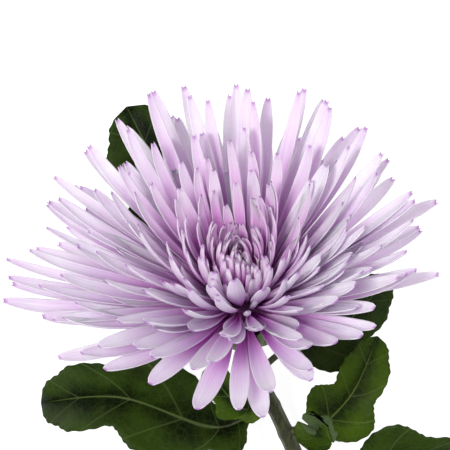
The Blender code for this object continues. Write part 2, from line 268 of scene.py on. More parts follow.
def petal_tip(rule):
    """Where a petal that bends, hooks and sweeps has its tip."""
    direction, outward, sideways = petal_axes(rule["azimuth"], rule["polar"])
    away = rule["bend"] + rule["hook"]
    reach = rule["length"]
    return (BLOOM_CENTRE + (ROOT_DEPTH + reach) * direction
            + reach * away * outward + reach * rule["sweep"] * sideways)


def petal_rules():
    """A line for each petal from the eye to the rim. Reach and width are in mm until stored."""
    draw = random.Random(SEED)
    rules = []
    for index in range(PETAL_COUNT):
        share = (index + 0.5) / PETAL_COUNT
        polar = math.acos(1 - share**CROWDING * (1 - math.cos(WIDEST_POLAR)))
        azimuth = index * GOLDEN_ANGLE + draw.uniform(-0.09, 0.09)
        near = towards_front(azimuth)
        back = max(0.0, -math.cos(azimuth))
        degrees = math.degrees(polar)
        grown = degrees * (1 + 0.24 * back)
        ring = smooth(degrees, 4, 16)
        outer = smooth(degrees, 35, 75)
        reach = 20 + 9.5 * ring + 11.5 * smooth(grown, 26, 48) + 34 * smooth(grown, 42, 76)
        hanging = foremost(azimuth) * smooth(degrees, 62, 88)
        reach *= 1 - 0.22 * near + 0.15 * hanging - 0.09 * max(0.0, math.sin(azimuth))
        reach *= 1 + draw.uniform(-0.08, 0.05)
        width = (2.5 + 1.3 * ring + (3.0 + 1.0 * near) * outer) * (1 + draw.uniform(-0.12, 0.12))
        # Petals that stand straight up, towards the camera, are short, slim and rolled.
        height = petal_axes(azimuth, polar)[0].z
        parted = smooth(height, 0.955, 0.99)
        reach *= 1 - 0.40 * parted
        width *= (1 - 0.32 * smooth(height, 0.80, 0.95)) * (1 - 0.20 * parted)
        spread = 1 - (0.04 + 0.11 * near) * outer + 0.11 * hanging
        rule = {
            "rank": share,
            "azimuth": azimuth,
            "polar": polar * spread + draw.uniform(-0.07, 0.07),
            "length": reach * MM - ROOT_DEPTH,
            "width": width * MM,
            "bend": -0.28 * (1 - outer) * ring - 0.10 * outer + draw.uniform(-0.06, 0.06),
            "hook": draw.uniform(-0.07, 0.02) - 0.10 * (1 - outer) * ring,
            "sweep": draw.uniform(-0.05, 0.05),
            "twist": draw.uniform(-0.25, 0.25),
            "roll": 1.0 + 1.5 * parted + 0.25 * (1 - smooth(degrees, 10, 40)),
        }
        # A petal whose tip would pass below the floor or into a leaf is lifted by half degrees.
        for _ in range(60):
            tip = petal_tip(rule)
            over_leaf = smooth(-(tip.x - BLOOM_CENTRE.x) / MM, 2, 14)
            if tip.z >= TIP_CLEARANCE + LEAF_CLEARANCE * over_leaf:
                break
            rule["polar"] -= math.radians(0.5)
        rules.append(rule)
    return rules


rules = petal_rules()
print(len(rules), "petals, the longest", round(max(r["length"] for r in rules) / MM), "mm")

# %% [markdown]
# ## The small florets
# Three more kinds fill the bloom. The eye holds a tuft of tiny florets that haven't opened, curled
# over one another and deep magenta. Slim upright ones stand round it like a fence, and shorter
# petals stand between the main ones. Each could have a shape of its own, but in the real flower
# they are one floret at different ages, so they get the same numbers with other values.

# %% The tuft of the eye
EYE_COUNT = 46
EYE_POLAR = math.radians(15)


def eye_rules():
    """Tiny rolled florets that lean over the middle of the eye."""
    draw = random.Random(SEED + 1)
    tuft = []
    for index in range(EYE_COUNT):
        share = (index + 0.5) / EYE_COUNT
        tuft.append({
            "rank": 0.02 * share,
            "azimuth": index * GOLDEN_ANGLE,
            "polar": EYE_POLAR * math.sqrt(share),
            "length": (9.5 + 4.5 * share + draw.uniform(-1.0, 1.0)) * MM,
            "width": draw.uniform(1.4, 2.2) * MM,
            "bend": -0.10 - 0.35 * share + draw.uniform(-0.1, 0.1),
            "hook": draw.uniform(-0.30, -0.10),
            "sweep": draw.uniform(-0.15, 0.15),
            "twist": draw.uniform(-0.8, 0.8),
            "roll": 1.3,
        })
    return tuft


rules += eye_rules()
print(EYE_COUNT, "florets in the eye")

# %% [markdown]
# The fillers and the fence could have a rule of their own, but a copy of a main petal's numbers,
# turned a little aside, keeps each one out of that petal's way. Petals that stand straight up get
# no filler, so that the eye stays open.

# %% Fillers and the fence
FILLERS_FROM = 36
FILLER_STEP = 2
FILLER_TURN = GOLDEN_ANGLE / 6
TOO_UPRIGHT = 0.92
FENCE_FROM = 3
FENCE_TO = 38


def filler_rules(main_rules):
    """Shorter petals that stand between the main ones, wherever the bloom is at its fullest."""
    draw = random.Random(SEED + 3)
    fillers = []
    for rule in main_rules[FILLERS_FROM::FILLER_STEP]:
        if petal_axes(rule["azimuth"], rule["polar"])[0].z > TOO_UPRIGHT:
            continue
        filler = dict(rule)
        filler["azimuth"] += FILLER_TURN * draw.choice((-1, 1))
        filler["polar"] *= draw.uniform(0.80, 0.95)
        filler["length"] *= draw.uniform(0.62, 0.88)
        filler["bend"] += draw.uniform(-0.12, 0.02)
        filler["twist"] = draw.uniform(-0.5, 0.5)
        filler["sweep"] = draw.uniform(-0.08, 0.08)
        fillers.append(filler)
    return fillers


def fence_rules(main_rules):
    """Slim upright florets that crowd round the eye like a fence."""
    draw = random.Random(SEED + 4)
    fence = []
    for rule in main_rules[FENCE_FROM:FENCE_TO]:
        post = dict(rule)
        post["azimuth"] += 0.9 + draw.uniform(-0.2, 0.2)
        post["polar"] *= draw.uniform(0.86, 1.04)
        post["length"] *= draw.uniform(0.78, 0.98)
        post["width"] *= 0.62
        post["bend"] = draw.uniform(-0.22, -0.08)
        post["twist"] = draw.uniform(-0.6, 0.6)
        post["roll"] = 1.5
        fence.append(post)
    return fence


rules += filler_rules(rules[:PETAL_COUNT])
rules += fence_rules(rules[:PETAL_COUNT])
print(len(rules), "florets in all")

# %% [markdown]
# ## One blank petal
# All florets start from one closed blank: rings of points from the root to the tip. It could be
# modelled as a petal, but then every petal would be alike. So it has no shape of its own. Each
# point only remembers how far along the petal it is, how far across, and on which face. The
# Geometry Nodes tree turns those numbers into a real petal, a different one at every root.

# %% The petal blank
RINGS = 20
RING_POINTS = 12
RING_CROWDING = 0.06


def petal_blank(name, rings, points):
    """A closed tube whose rings crowd towards the root and the tip, where petals curve most."""
    builder = bmesh.new()
    along = builder.verts.layers.float.new("along")
    across = builder.verts.layers.float.new("across")
    side = builder.verts.layers.float.new("side")
    grid = []
    for row in range(rings):
        share = row / (rings - 1)
        share -= RING_CROWDING * math.sin(math.tau * share)
        ring = []
        for k in range(points):
            angle = math.tau * k / points
            vertex = builder.verts.new((math.cos(angle), math.sin(angle), row))
            vertex[along] = share
            vertex[across] = math.cos(angle)
            vertex[side] = math.copysign(abs(math.sin(angle)) ** 0.5, math.sin(angle))
            ring.append(vertex)
        grid.append(ring)
    for lower, upper in zip(grid, grid[1:]):
        for k in range(points):
            n = (k + 1) % points
            builder.faces.new((lower[k], lower[n], upper[n], upper[k]))
    builder.faces.new(grid[0][::-1])
    builder.faces.new(grid[-1])
    return new_object(name, mesh_from(builder, name))


blank = petal_blank("petal_blank", RINGS, RING_POINTS)
print("blank of", len(blank.data.polygons), "faces")

# %% [markdown]
# ## The petal's formula
# A real ray floret is a tube at its root that opens into a long channel with a blunt, pinched tip.
# So the section is an arc: nearly a full circle at the root, shallow further out. A script could
# place each point, but a tree can be reused with other sizes. Two curves say how wide the petal is
# along its length and how far its arc closes. The formula below is a table, one line a step, and
# each line becomes one Math node.

# %% The steps of the formula
WIDTH_ALONG = (
    (0.0, 0.36), (0.18, 0.48), (0.45, 0.86), (0.66, 1.0), (0.82, 0.91), (0.93, 0.70), (1.0, 0.32))
CUPPING_ALONG = (
    (0.0, 1.0), (0.15, 0.82), (0.40, 0.44), (0.70, 0.30), (0.88, 0.30), (1.0, 0.55))
CUP_MOST = 2.95
CUP_LEAST = 0.2
TIP_POWER = 14.0
LOWEST_POINT = (-9.0, -9.0, 0.0003)

PETAL_STEPS = (
    ("u2", "Math", "MULTIPLY", "along", "along"),
    ("u4", "Math", "MULTIPLY", "u2", "u2"),
    ("u5", "Math", "MULTIPLY", "u4", "along"),
    ("bent", "Math", "MULTIPLY", "bend", "u2"),
    ("hooked", "Math", "MULTIPLY", "hook", "u5"),
    ("away", "Math", "ADD", "bent", "hooked"),
    ("slope_bend", "Math", "MULTIPLY", "bend", "along"),
    ("slope_bend2", "Math", "MULTIPLY", "slope_bend", 2.0),
    ("slope_hook", "Math", "MULTIPLY", "hook", "u4"),
    ("slope", "Math", "MULTIPLY_ADD", "slope_hook", 5.0, "slope_bend2"),
    ("tilted", "VectorMath", "SCALE", "direction", "slope"),
    ("outward_raw", "VectorMath", "SUBTRACT", "outward", "tilted"),
    ("normal_out", "VectorMath", "NORMALIZE", "outward_raw"),
    ("cup_raw", "Math", "MULTIPLY", "cupping", "full_roll"),
    ("cup_own", "Math", "MULTIPLY", "cup_raw", "roll"),
    ("cup_most", "Math", "MINIMUM", "cup_own", CUP_MOST),
    ("cup", "Math", "MAXIMUM", "cup_most", CUP_LEAST),
    ("flat_width", "Math", "MULTIPLY", "width", "width_share"),
    ("half", "Math", "MULTIPLY", "flat_width", 0.5),
    ("radius", "Math", "DIVIDE", "half", "cup"),
    ("angle", "Math", "MULTIPLY", "across", "cup"),
    ("sine", "Math", "SINE", "angle"),
    ("cosine", "Math", "COSINE", "angle"),
    ("wall", "Math", "MULTIPLY", "thickness", "side"),
    ("half_wall", "Math", "MULTIPLY", "wall", 0.5),
    ("inner_radius", "Math", "SUBTRACT", "radius", "half_wall"),
    ("lateral", "Math", "MULTIPLY", "sine", "inner_radius"),
    ("drop", "Math", "MULTIPLY", "cosine", "inner_radius"),
    ("lift", "Math", "SUBTRACT", "radius", "drop"),
    ("turn", "Math", "MULTIPLY", "twist", "along"),
    ("turn_cos", "Math", "COSINE", "turn"),
    ("turn_sin", "Math", "SINE", "turn"),
    ("lat_c", "Math", "MULTIPLY", "lateral", "turn_cos"),
    ("lift_s", "Math", "MULTIPLY", "lift", "turn_sin"),
    ("lat", "Math", "SUBTRACT", "lat_c", "lift_s"),
    ("lat_s", "Math", "MULTIPLY", "lateral", "turn_sin"),
    ("lift_c", "Math", "MULTIPLY", "lift", "turn_cos"),
    ("rise", "Math", "ADD", "lat_s", "lift_c"),
    ("sink", "Math", "MULTIPLY", "rise", -1.0),
    ("across2", "Math", "MULTIPLY", "across", "across"),
    ("middle", "Math", "SUBTRACT", 1.0, "across2"),
    ("at_tip", "Math", "POWER", "along", TIP_POWER),
    ("cut_back", "Math", "MULTIPLY", "middle", "at_tip"),
    ("notched", "Math", "MULTIPLY", "cut_back", "notch"),
    ("reach_raw", "Math", "MULTIPLY", "length", "along"),
    ("reach", "Math", "SUBTRACT", "reach_raw", "notched"),
    ("shift", "Math", "MULTIPLY", "length", "away"),
    ("swept", "Math", "MULTIPLY", "sweep", "u2"),
    ("sway", "Math", "MULTIPLY_ADD", "length", "swept", "lat"),
    ("p_reach", "VectorMath", "SCALE", "direction", "reach"),
    ("p_shift", "VectorMath", "SCALE", "outward", "shift"),
    ("p_sway", "VectorMath", "SCALE", "sideways", "sway"),
    ("p_rise", "VectorMath", "SCALE", "normal_out", "sink"),
    ("sum_1", "VectorMath", "ADD", "root", "p_reach"),
    ("sum_2", "VectorMath", "ADD", "p_shift", "p_sway"),
    ("sum_3", "VectorMath", "ADD", "sum_1", "sum_2"),
    ("sum_4", "VectorMath", "ADD", "sum_3", "p_rise"),
    ("placed", "VectorMath", "MAXIMUM", "sum_4", LOWEST_POINT),
)
print(len(PETAL_STEPS), "steps place a petal's point")

# %% [markdown]
# ## The petal tree
# The tree sets a copy of the blank on each root, makes the copies real, moves every point to its
# place by the formula, and gives the result its material. Real points are needed because only they
# can each move. The numbers of a floret ride on its root, and the copies inherit them.

# %% Build the tree
FLORET_NUMBERS = ("length", "width", "bend", "hook", "sweep", "twist", "roll", "rank", "chance")
FLORET_VECTORS = ("root", "direction", "outward", "sideways")
BLANK_NUMBERS = ("along", "across", "side")
TREE_INPUTS = (
    ("Roots", "Geometry"), ("Blank", "Object"), ("Thickness", "Float"), ("Full Roll", "Float"),
    ("Notch", "Float"), ("Material", "Material"))


def floret_tree(name, width_along, cupping_along):
    tree = bpy.data.node_groups.new(name, "GeometryNodeTree")
    for label, kind in TREE_INPUTS:
        tree.interface.new_socket(label, in_out="INPUT", socket_type="NodeSocket" + kind)
    tree.interface.new_socket("Florets", in_out="OUTPUT", socket_type="NodeSocketGeometry")
    given = add(tree, "NodeGroupInput").outputs
    made = {
        "thickness": given["Thickness"], "full_roll": given["Full Roll"], "notch": given["Notch"]}
    for key in FLORET_NUMBERS + BLANK_NUMBERS + FLORET_VECTORS:
        kind = "FLOAT_VECTOR" if key in FLORET_VECTORS else "FLOAT"
        node = add(tree, "GeometryNodeInputNamedAttribute", {"data_type": kind}, {"Name": key})
        made[key] = node.outputs["Attribute"]
    for key, stops in (("width_share", width_along), ("cupping", cupping_along)):
        curve = add(tree, "ShaderNodeFloatCurve", {"label": key}, {"Value": made["along"]}, stops)
        made[key] = curve.outputs["Value"]
    for key, kind, operation, *terms in PETAL_STEPS:
        values = [made.get(term, term) if isinstance(term, str) else term for term in terms]
        slots = (0, 3) if operation == "SCALE" else range(len(values))
        step = add(tree, "ShaderNode" + kind, {"operation": operation}, dict(zip(slots, values)))
        made[key] = step.outputs[0]
    shape = add(tree, "GeometryNodeObjectInfo", inputs={"Object": given["Blank"]})
    copies = add(tree, "GeometryNodeInstanceOnPoints", inputs={
        "Points": given["Roots"], "Instance": shape.outputs["Geometry"]})
    real = add(tree, "GeometryNodeRealizeInstances", inputs={"Geometry": copies.outputs[0]})
    shaped = add(tree, "GeometryNodeSetPosition", inputs={
        "Geometry": real.outputs[0], "Position": made["placed"]})
    finished = add(tree, "GeometryNodeSetMaterial", inputs={
        "Geometry": shaped.outputs[0], "Material": given["Material"]})
    add(tree, "NodeGroupOutput", inputs={"Florets": finished.outputs[0]})
    return tree


petal_tree = floret_tree("petal_tree", WIDTH_ALONG, CUPPING_ALONG)
print("petal tree of", len(petal_tree.nodes), "nodes")

# %% [markdown]
# ## Roots
# A root is one loose point on the core with the floret's numbers as attributes. They could be typed
# into the tree, but attributes let one tree serve hundreds of florets that all differ.

# %% Roots as points that carry the rule's numbers


def root_points(name, rows):
    """A mesh of loose points, one for each floret, with its numbers as attributes."""
    mesh = bpy.data.meshes.new(name)
    mesh.from_pydata([row["root"] for row in rows], [], [])
    for key in FLORET_NUMBERS:
        numbers = mesh.attributes.new(key, "FLOAT", "POINT")
        numbers.data.foreach_set("value", [row[key] for row in rows])
    for key in FLORET_VECTORS:
        vectors = mesh.attributes.new(key, "FLOAT_VECTOR", "POINT")
        vectors.data.foreach_set("vector", [part for row in rows for part in row[key]])
    return new_object(name, mesh)


chance = random.Random(SEED + 2)
for rule in rules:
    direction, outward, sideways = petal_axes(rule["azimuth"], rule["polar"])
    rule.update(
        root=BLOOM_CENTRE + ROOT_DEPTH * direction, direction=direction, outward=outward,
        sideways=sideways, chance=chance.random())
print("roots ready for", len(rules), "florets")

# %% [markdown]
# ## From a tree to a plain mesh
# A modifier runs the tree on the roots. It could stay on the piece, but a finished piece is easier
# to use as a plain mesh, so the result is read back and the points are thrown away.

# %% Grow florets


def grow_florets(name, rows, tree, blank, settings):
    """Runs the tree on the roots and keeps the result as a plain mesh at the origin."""
    points = root_points(name + "_roots", rows)
    grow = points.modifiers.new("grow", "NODES")
    grow.node_group = tree
    names = {
        item.name: item.identifier for item in tree.interface.items_tree if item.in_out == "INPUT"}
    for key, value in {"Blank": blank, **settings}.items():
        grow[names[key]] = value
    bpy.context.view_layer.update()
    graph = bpy.context.evaluated_depsgraph_get()
    mesh = bpy.data.meshes.new_from_object(points.evaluated_get(graph), depsgraph=graph)
    bpy.data.objects.remove(points, do_unlink=True)
    mesh.name = name
    builder = bmesh.new()
    builder.from_mesh(mesh)
    bmesh.ops.recalc_face_normals(builder, faces=builder.faces)
    builder.to_mesh(mesh)
    builder.free()
    mesh.shade_smooth()
    return new_object(name, mesh)


print("ready to grow", len(rules), "florets")

# %% [markdown]
# ## The lilac petal: colour
# A petal is soft, thin living tissue, matt and a little see-through. It is magenta at the root,
# lilac along the channel and nearly white towards the tip, with a violet spot at the very end. The
# inner petals are a deeper magenta, and their ramp is darker still as painted shade for the middle
# of the bloom. The tuft's ramp is painted nearly black at the root, the shade deep in the eye, and
# the outer ramp's dark root is partly painted shade too. One texture could be painted for each, but
# three ramps along the petal, mixed by the floret's rank in the rule, give every step between them.

# %% Petal colours
# The first stops of the three ramps are magenta pigment made darker by painted shade where the roots
# sit deep between petals.
OUTER_RAMP = (
    (0.0, "#5E0F56"), (0.16, "#AE50AA"), (0.34, "#D298D6"), (0.58, "#E3CCEA"), (0.84, "#EEE8F4"),
    (0.975, "#E2D8EA"), (1.0, "#A98ABB"))
INNER_RAMP = (
    (0.0, "#2A0624"), (0.30, "#741A6A"), (0.54, "#C664C0"), (0.78, "#ECB8EA"), (0.95, "#F4E0F4"),
    (1.0, "#B383BE"))
EYE_RAMP = ((0.0, "#180314"), (0.55, "#420A3C"), (0.85, "#82307A"), (1.0, "#CF9CCC"))
SOFT_RANGE = {"interpolation_type": "SMOOTHSTEP"}
COLOUR_MIX = {"data_type": "RGBA"}

petal_material = new_material("lilac_petal")
tree = petal_material.node_tree
along, across, rank, fate = (
    add(tree, "ShaderNodeAttribute", {"attribute_name": name}).outputs["Fac"]
    for name in ("along", "across", "rank", "chance"))
outer_colour, inner_colour, eye_colour = (
    add(tree, "ShaderNodeValToRGB", inputs={"Fac": along}, stops=ramp).outputs["Color"]
    for ramp in (OUTER_RAMP, INNER_RAMP, EYE_RAMP))
is_outer = add(tree, "ShaderNodeMapRange", SOFT_RANGE, {
    "Value": rank, "From Min": 0.05, "From Max": 0.62})
is_open = add(tree, "ShaderNodeMapRange", SOFT_RANGE, {
    "Value": rank, "From Min": 0.008, "From Max": 0.04})
ray = add(tree, "ShaderNodeMix", COLOUR_MIX, {
    "Factor": is_outer.outputs["Result"], 6: inner_colour, 7: outer_colour})
body = add(tree, "ShaderNodeMix", COLOUR_MIX, {
    "Factor": is_open.outputs["Result"], 6: eye_colour, 7: ray.outputs[2]})
print("petal colours from", len(tree.nodes), "nodes")

# %% [markdown]
# ## The lilac petal: painted rim highlight and streaks
# The edge of a petal is thinner than its middle and catches and lets through more light, so a pale
# rim is painted on it as a painted highlight, faded out towards the root. Fine veins run along the
# petal, a quarter of a millimetre apart. They could be lines in the mesh, but noise that is
# stretched along the petal gives them for nothing. They are a little finer than a pixel, so from the
# camera they read as soft streaks.

# %% Petal rim highlight, painted, and streaks
PETAL_WIDTH_MM = 6.0
PETAL_VEIN_MM = 0.2564
# The noise has a cell for each vein across the petal, from -1 to 1, and about one along it.
VEINS_ACROSS = PETAL_WIDTH_MM / PETAL_VEIN_MM / 2
VEINS_ALONG = 1.3
FATE_SPREAD = 40.0

from_middle = add(tree, "ShaderNodeMath", {"operation": "ABSOLUTE"}, {0: across})
# The rim is a painted highlight: the edges are mixed towards near-white, less so near the root.
rim = add(tree, "ShaderNodeMapRange", SOFT_RANGE, {
    "Value": from_middle.outputs[0], "From Min": 0.80, "From Max": 0.98, "To Max": 0.7})
past_root = add(tree, "ShaderNodeMapRange", SOFT_RANGE, {
    "Value": along, "From Min": 0.25, "From Max": 0.65})
painted_rim_light = add(tree, "ShaderNodeMath", {"operation": "MULTIPLY"}, {
    0: rim.outputs["Result"], 1: past_root.outputs["Result"]})
rim_lit_colour = add(tree, "ShaderNodeMix", COLOUR_MIX, {
    "Factor": painted_rim_light.outputs[0], 6: body.outputs[2], 7: linear("#F6EEF9")})
line = add(tree, "ShaderNodeMath", {"operation": "MULTIPLY"}, {
    0: across, 1: VEINS_ACROSS / VEINS_ALONG})
apart = add(tree, "ShaderNodeMath", {"operation": "MULTIPLY"}, {0: fate, 1: FATE_SPREAD})
lines = add(tree, "ShaderNodeCombineXYZ", inputs={
    "X": line.outputs[0], "Y": along, "Z": apart.outputs[0]})
streaks = add(tree, "ShaderNodeTexNoise", inputs={
    "Vector": lines.outputs[0], "Scale": VEINS_ALONG, "Detail": 2.0})
streaked = add(tree, "ShaderNodeMapRange", inputs={
    "Value": streaks.outputs["Fac"], "From Min": 0.35, "From Max": 0.7, "To Max": 0.32})
veined = add(tree, "ShaderNodeMix", {"data_type": "RGBA", "blend_type": "MULTIPLY"}, {
    "Factor": streaked.outputs["Result"], 6: rim_lit_colour.outputs[2], 7: linear("#C9A2D6")})
print("veins", PETAL_VEIN_MM, "mm apart")

# %% [markdown]
# ## The lilac petal: surface
# No two petals are the same, so each is a little lighter or stronger in colour by its own chance.
# Glass-like transparency would show the petals behind, which real ones hide. Light that scatters
# under the surface gives their soft glow instead, and the veins raise the surface a little.

# %% Petal surface
lightness = add(tree, "ShaderNodeMapRange", inputs={"Value": fate, "To Min": 0.94, "To Max": 1.04})
strength = add(tree, "ShaderNodeMapRange", inputs={"Value": fate, "To Min": 1.12, "To Max": 0.9})
varied = add(tree, "ShaderNodeHueSaturation", inputs={
    "Value": lightness.outputs["Result"], "Saturation": strength.outputs["Result"],
    "Color": veined.outputs[2]})
ribs = add(tree, "ShaderNodeBump", inputs={
    "Height": streaks.outputs["Fac"], "Strength": 0.25, "Distance": 0.3 * MM})
shader = add(tree, "ShaderNodeBsdfPrincipled", {"subsurface_method": "RANDOM_WALK"}, {
    "Base Color": varied.outputs["Color"], "Roughness": 0.55, "Specular IOR Level": 0.14,
    "Subsurface Weight": 0.5, "Subsurface Radius": (0.0026, 0.0014, 0.0024),
    "Subsurface Scale": 1.0, "Normal": ribs.outputs["Normal"]})
add(tree, "ShaderNodeOutputMaterial", inputs={"Surface": shader.outputs[0]})
print("petal material of", len(tree.nodes), "nodes")

# %% [markdown]
# ## The petals
# All florets grow in one go and stay one piece, because they are one soft flower head. The wall is
# thinner than the solid's, and the notch cuts the tip back a little in its middle.

# %% Grow the petals
PETAL_WALL = 0.45 * MM
PETAL_ROLL = 2.75
PETAL_NOTCH = 0.9 * MM

petals = grow_florets("petals", rules, petal_tree, blank, {
    "Thickness": PETAL_WALL, "Full Roll": PETAL_ROLL, "Notch": PETAL_NOTCH,
    "Material": petal_material})
print("petals:", sum(len(face.vertices) - 2 for face in petals.data.polygons), "triangles")

# %% [markdown]
# ## The receptacle
# The roots meet on a small fleshy dome. It is seen only as darkness between the petals, and it
# could be left out, but then one could look through the flower's core. A sphere turned to the
# bloom's axis is enough. Its magenta flesh is dull, with a pit of about 1 mm for each floret.

# %% The receptacle
PIT_MM = 1.11

builder = bmesh.new()
bmesh.ops.create_icosphere(builder, subdivisions=4, radius=CORE_RADIUS)
for vertex in builder.verts:
    vertex.co = BLOOM_CENTRE + BLOOM_TURN @ vertex.co
flesh = new_material("receptacle_flesh")
tree = flesh.node_tree
cells = add(tree, "ShaderNodeTexVoronoi", inputs={
    "Vector": add(tree, "ShaderNodeTexCoord").outputs["Object"], "Scale": per_metre(PIT_MM)})
# The flesh is darker towards the bottom of each pit.
tint = add(tree, "ShaderNodeValToRGB", inputs={"Fac": cells.outputs["Distance"]}, stops=(
    (0.0, "#4A1746"), (1.0, "#7C4377")))
pits = add(tree, "ShaderNodeBump", inputs={
    "Height": cells.outputs["Distance"], "Strength": 0.6, "Distance": 0.4 * MM})
shader = add(tree, "ShaderNodeBsdfPrincipled", inputs={
    "Base Color": tint.outputs["Color"], "Roughness": 0.7, "Normal": pits.outputs["Normal"]})
add(tree, "ShaderNodeOutputMaterial", inputs={"Surface": shader.outputs[0]})
dome_mesh = mesh_from(builder, "receptacle", flesh)
dome_mesh.shade_smooth()
receptacle = new_object("receptacle", dome_mesh)
for piece in (petals, receptacle):
    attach(piece, "root")
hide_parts("bloom")
print("the bloom is", [round(value / MM) for value in petals.dimensions], "mm")

# %% [markdown]
# ## The stem's path
# A chrysanthemum's stem is round with shallow ribs, and thinner just under the bloom. A bent
# cylinder would pinch at its bends, so the path is a smooth curve through a few points, and a
# ribbed section is carried along it. Each leaf leaves it at a slight swelling.

# %% The stem's path
STEM_POINTS = (
    (1.1, -12.8, -11.5), (5.5, -25.0, -22.0), (14.5, -44.0, -33.5), (24.0, -68.0, -41.0),
    (32.0, -98.0, -44.2), (40.0, -138.0, -44.35), (47.0, -178.0, -44.35))
NECK_RADIUS = 2.2 * MM
STEM_RADIUS = 2.8 * MM
STEM_STATIONS = 150
STEM_SIDES = 36
STEM_RIBS = 6
RIB_HEIGHT = 0.045


def smooth_path(points, share):
    """The point at a share of the smooth curve through a list of points."""
    scaled = share * (len(points) - 1)
    part = min(int(scaled), len(points) - 2)
    t = scaled - part
    before, start = points[max(part - 1, 0)], points[part]
    end, after = points[part + 1], points[min(part + 2, len(points) - 1)]
    return 0.5 * (2 * start + (end - before) * t
                  + (2 * before - 5 * start + 4 * end - after) * t**2
                  + (3 * start - before - 3 * end + after) * t**3)


stem_path = [BLOOM_CENTRE + Vector(point) * MM for point in STEM_POINTS]
print("the stem ends at", [round(value / MM) for value in stem_path[-1]])

# %% [markdown]
# ## The leaves
# Each leaf has a stalk, a midrib and a lobed, toothed blade that folds up on either side and waves.
# A flat card with a picture of a leaf would look thin from the side, so the blade is a mesh. One
# half outline serves for all: it is drawn as shares of the blade's length along and across. The
# side veins run forward to the lobes, so the mesh's rows lean forward with them.

# %% Each leaf's place and the shared outline
LEAVES = (
    {
        "stem": 0.26, "bare": 0.16, "roll": 6, "fold": 30, "breadth": 0.86,
        "rib": ((-12, -42, -26), (-41, -32, -23), (-69, -35, -38)),
    },
    {
        "stem": 0.34, "bare": 0.18, "roll": 10, "fold": 12, "breadth": 1.0,
        "rib": ((26, -43, -29), (37, -30, -21), (45, -11, -17)),
    },
    {
        "stem": 0.46, "bare": 0.16, "roll": 12, "fold": 16, "breadth": 1.0,
        "rib": ((41, -59, -31), (61, -54, -29), (81, -59, -41)),
    },
    {
        "stem": 0.17, "bare": 0.22, "roll": 0, "fold": 18, "breadth": 1.0,
        "rib": ((1, -35, -11), (-5, -30, -7), (-12, -21, -9)),
    },
    {
        "stem": 0.15, "bare": 0.20, "roll": 8, "fold": 10, "breadth": 1.0,
        "rib": ((18, -15, -28), (34, -8, -30), (50, 8, -34)),
    },
    {
        "stem": 0.19, "bare": 0.38, "roll": 0, "fold": 4, "breadth": 1.0,
        "rib": ((-6, -3, -38), (-22, 31, -42), (-40, 67, -43.5)),
    },
    {
        "stem": 0.52, "bare": 0.14, "roll": -6, "fold": 14, "breadth": 1.0,
        "rib": ((2, -92, -34), (-22, -104, -33), (-50, -118, -45)),
    },
    {
        "stem": 0.68, "bare": 0.14, "roll": 6, "fold": 14, "breadth": 1.0,
        "rib": ((52, -124, -34), (72, -134, -34), (96, -150, -45)),
    },
)
LEAF_OUTLINE = (
    (0.00, 0.012), (0.06, 0.030), (0.13, 0.075), (0.20, 0.135), (0.27, 0.180), (0.32, 0.185),
    (0.36, 0.160), (0.40, 0.150), (0.46, 0.205), (0.53, 0.270), (0.61, 0.300), (0.65, 0.265),
    (0.68, 0.215), (0.71, 0.185), (0.77, 0.210), (0.84, 0.205), (0.88, 0.165), (0.93, 0.130),
    (0.97, 0.070),
)
VEIN_SLOPE = 0.6
EDGE_WAVE = 2.2 * MM
JOIN_GAP = 0.6 * MM
STALK_RADIUS = 1.15 * MM
LEAF_WALL = 0.55 * MM
QUILT_HEIGHT = 0.35 * MM
ROWS_PER_SPAN = 7
BLADE_COLUMNS = 9
VEIN_PAIRS = 6


def bare_stem_radius(share):
    """The stem's radius without its swellings: thin at the neck, full from half way down."""
    return NECK_RADIUS + (STEM_RADIUS - NECK_RADIUS) * smooth(share, 0.0, 0.5)


def stem_radius(share):
    swelling = sum(math.exp(-((share - leaf["stem"]) / 0.012) ** 2) for leaf in LEAVES)
    return bare_stem_radius(share) + 0.25 * MM * swelling


def leaf_midrib(leaf):
    """The path of a leaf's stalk and midrib, and the point inside the stem that it starts from."""
    start = smooth_path(stem_path, leaf["stem"])
    tangent = (smooth_path(stem_path, leaf["stem"] + 0.01) - start).normalized()
    rib = [BLOOM_CENTRE + Vector(point) * MM for point in leaf["rib"]]
    away = rib[0] - start
    away = (away - away.dot(tangent) * tangent).normalized()
    base = start + away * (bare_stem_radius(leaf["stem"]) + JOIN_GAP)
    return [base, base + away * 8 * MM, *rib], start


def leaf_frame(midrib, leaf, share):
    """A point of the midrib, the way ahead, the way to the leaf's side, and up from its face."""
    share = min(share, 0.999)
    point = smooth_path(midrib, share)
    ahead = (smooth_path(midrib, share + 0.001) - point).normalized()
    side = ahead.cross(Vector((0, 0, 1))).normalized()
    side = Matrix.Rotation(math.radians(leaf["roll"]), 3, ahead) @ side
    return point, ahead, side, side.cross(ahead)


print(len(LEAVES), "leaves share one outline of", len(LEAF_OUTLINE), "points")

# %% [markdown]
# ## Leaf green
# The upper face is dark, slightly waxy green with a pale midrib, pale side veins and a fine net of
# small veins between them, and it is blotched with yellower patches. The underside is a dull grey
# green. The veins could be painted on, but drawn from each point's place along and across the blade
# they follow every leaf. The net and the patches are real sizes, the same on all leaves.

# %% Leaf materials
LEAF_UV = "blade"
LEAF_NET_MM = 2.38
LEAF_PATCH_MM = 11.1
LEAF_GRAIN_MM = 0.6667


